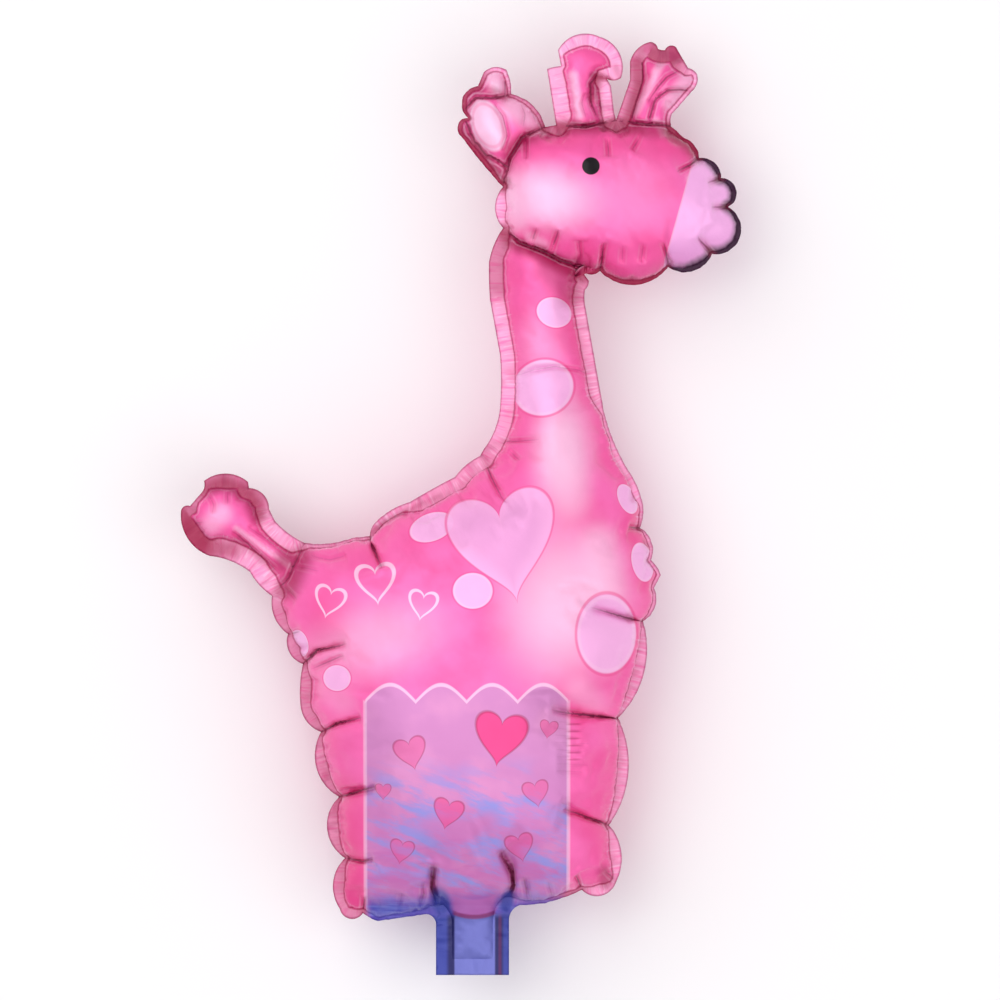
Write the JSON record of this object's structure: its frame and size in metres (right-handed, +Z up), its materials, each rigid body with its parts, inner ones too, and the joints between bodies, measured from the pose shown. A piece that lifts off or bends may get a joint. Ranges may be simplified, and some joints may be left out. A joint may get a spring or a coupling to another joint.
{
  "type": "giraffe-shaped foil balloon",
  "caption": "Inflated pink foil balloon in the shape of a standing giraffe, sealed round its edge with a flat weld, lying on its back with its printed face up.",
  "frame": {"origin": "on the floor, under the middle of the balloon's box", "axes": "+Y from the tab towards the horns, +X towards the muzzle, +Z up out of the printed face"},
  "size_m": [0.224, 0.3766, 0.0825],
  "materials": {
    "printed_foil": "printed metallised film with a soft satin sheen"
  },
  "bodies": {
    "root": {"giraffe_balloon": "printed_foil"}
  },
  "joints": []
}
